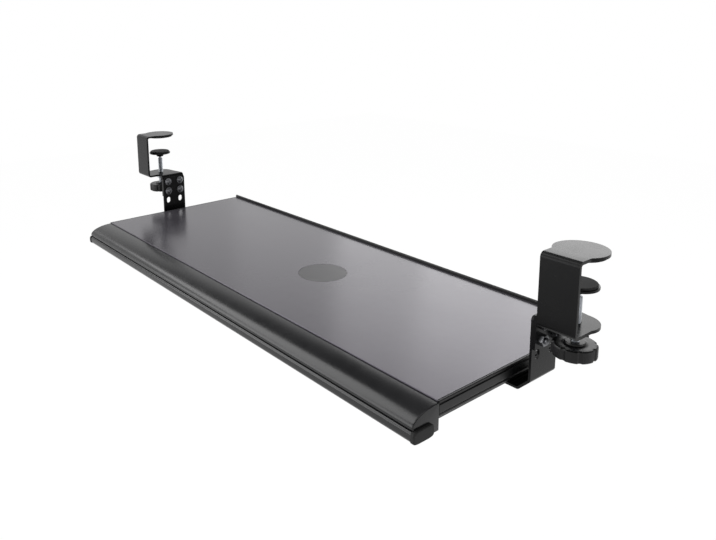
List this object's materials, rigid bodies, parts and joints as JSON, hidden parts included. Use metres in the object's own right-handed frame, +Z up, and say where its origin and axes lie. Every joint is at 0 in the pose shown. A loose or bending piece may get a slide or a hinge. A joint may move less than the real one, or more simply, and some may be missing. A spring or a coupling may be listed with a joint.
{
  "type": "under-desk keyboard tray",
  "caption": "Clamp-on sliding keyboard tray: wide flat deck with a rounded front moulding, hung on ball-bearing slides from two C-clamps.",
  "frame": {"origin": "on the desk's top plane at its front edge, midway between the two clamps", "axes": "+X to the right along the desk edge, +Y to the back under the desk, +Z up"},
  "size_m": [0.83, 0.2762, 0.1505],
  "materials": {
    "deck_laminate": "satin laminate over fibreboard",
    "disc_inlay": "satin",
    "edge_plastic": "satin extruded",
    "wrist_rest_plastic": "semi-gloss moulded",
    "black_powder_coat": "fine textured powder coat",
    "zinc_plated_steel": "bright zinc",
    "rail_steel": "black electro-coated cold-rolled sheet",
    "ball_steel": "polished",
    "screw_steel": "black zinc",
    "black_rubber": "matt",
    "knob_plastic": "moulded nylon"
  },
  "bodies": {
    "mounts": {"clamp_bracket_left": "black_powder_coat", "upper_pad_left": "black_rubber", "screw_nut_left": "zinc_plated_steel", "hanger_left": "black_powder_coat", "hanger_bolts_left": "screw_steel", "hanger_washers_left": "screw_steel", "hanger_nuts_left": "screw_steel", "outer_rail_left": "rail_steel", "rail_bumper_left": "black_rubber", "rail_rivets_left": "zinc_plated_steel", "clamp_bracket_right": "black_powder_coat", "upper_pad_right": "black_rubber", "screw_nut_right": "zinc_plated_steel", "hanger_right": "black_powder_coat", "hanger_bolts_right": "screw_steel", "hanger_washers_right": "screw_steel", "hanger_nuts_right": "screw_steel", "outer_rail_right": "rail_steel", "rail_bumper_right": "black_rubber", "rail_rivets_right": "zinc_plated_steel"},
    "tray": {"tray_board": "deck_laminate", "centre_disc": "disc_inlay", "edge_trim_left": "edge_plastic", "edge_trim_right": "edge_plastic", "rear_lip": "edge_plastic", "wrist_rest": "wrist_rest_plastic", "wrist_rest_cap_left": "wrist_rest_plastic", "wrist_rest_cap_right": "wrist_rest_plastic", "wrist_rest_screws": "screw_steel", "inner_rail_left": "rail_steel", "inner_rail_right": "rail_steel", "inner_rail_screws": "screw_steel"},
    "cages": {"ball_cage_left": "rail_steel", "bearing_balls_left": "ball_steel", "ball_cage_right": "rail_steel", "bearing_balls_right": "ball_steel"},
    "foot_left": {"foot_left": "black_powder_coat", "foot_pad_left": "black_rubber"},
    "foot_right": {"foot_right": "black_powder_coat", "foot_pad_right": "black_rubber"},
    "screw_left": {"spindle_left": "zinc_plated_steel", "knob_left": "knob_plastic"},
    "screw_right": {"spindle_right": "zinc_plated_steel", "knob_right": "knob_plastic"}
  },
  "joints": [
    {"name": "tray_slide", "type": "slide", "parent": "mounts", "child": "tray", "axis": [0, -1, 0], "range_m": [0, 0.18]},
    {"name": "cage_roll", "type": "slide", "parent": "mounts", "child": "cages", "axis": [0, -1, 0], "range_m": [0, 0.09]},
    {"name": "left_foot_lift", "type": "slide", "parent": "mounts", "child": "foot_left", "axis": [0, 0, 1], "range_m": [-0.027, 0.008]},
    {"name": "left_screw_turn", "type": "hinge", "parent": "foot_left", "child": "screw_left", "pos_m": [-0.391, 0.0295, -0.06], "axis": [0, 0, 1], "range_deg": [-7780, 2308]},
    {"name": "right_foot_lift", "type": "slide", "parent": "mounts", "child": "foot_right", "axis": [0, 0, 1], "range_m": [-0.027, 0.008]},
    {"name": "right_screw_turn", "type": "hinge", "parent": "foot_right", "child": "screw_right", "pos_m": [0.391, 0.0295, -0.06], "axis": [0, 0, 1], "range_deg": [-7780, 2308]}
  ],
  "couplings": [
    {"joint": "cage_roll", "follows": "tray_slide", "ratio": 0.5},
    {"joint": "left_screw_turn", "follows": "left_foot_lift", "rad_per_m": 5026.5},
    {"joint": "right_screw_turn", "follows": "right_foot_lift", "rad_per_m": 5026.5}
  ]
}
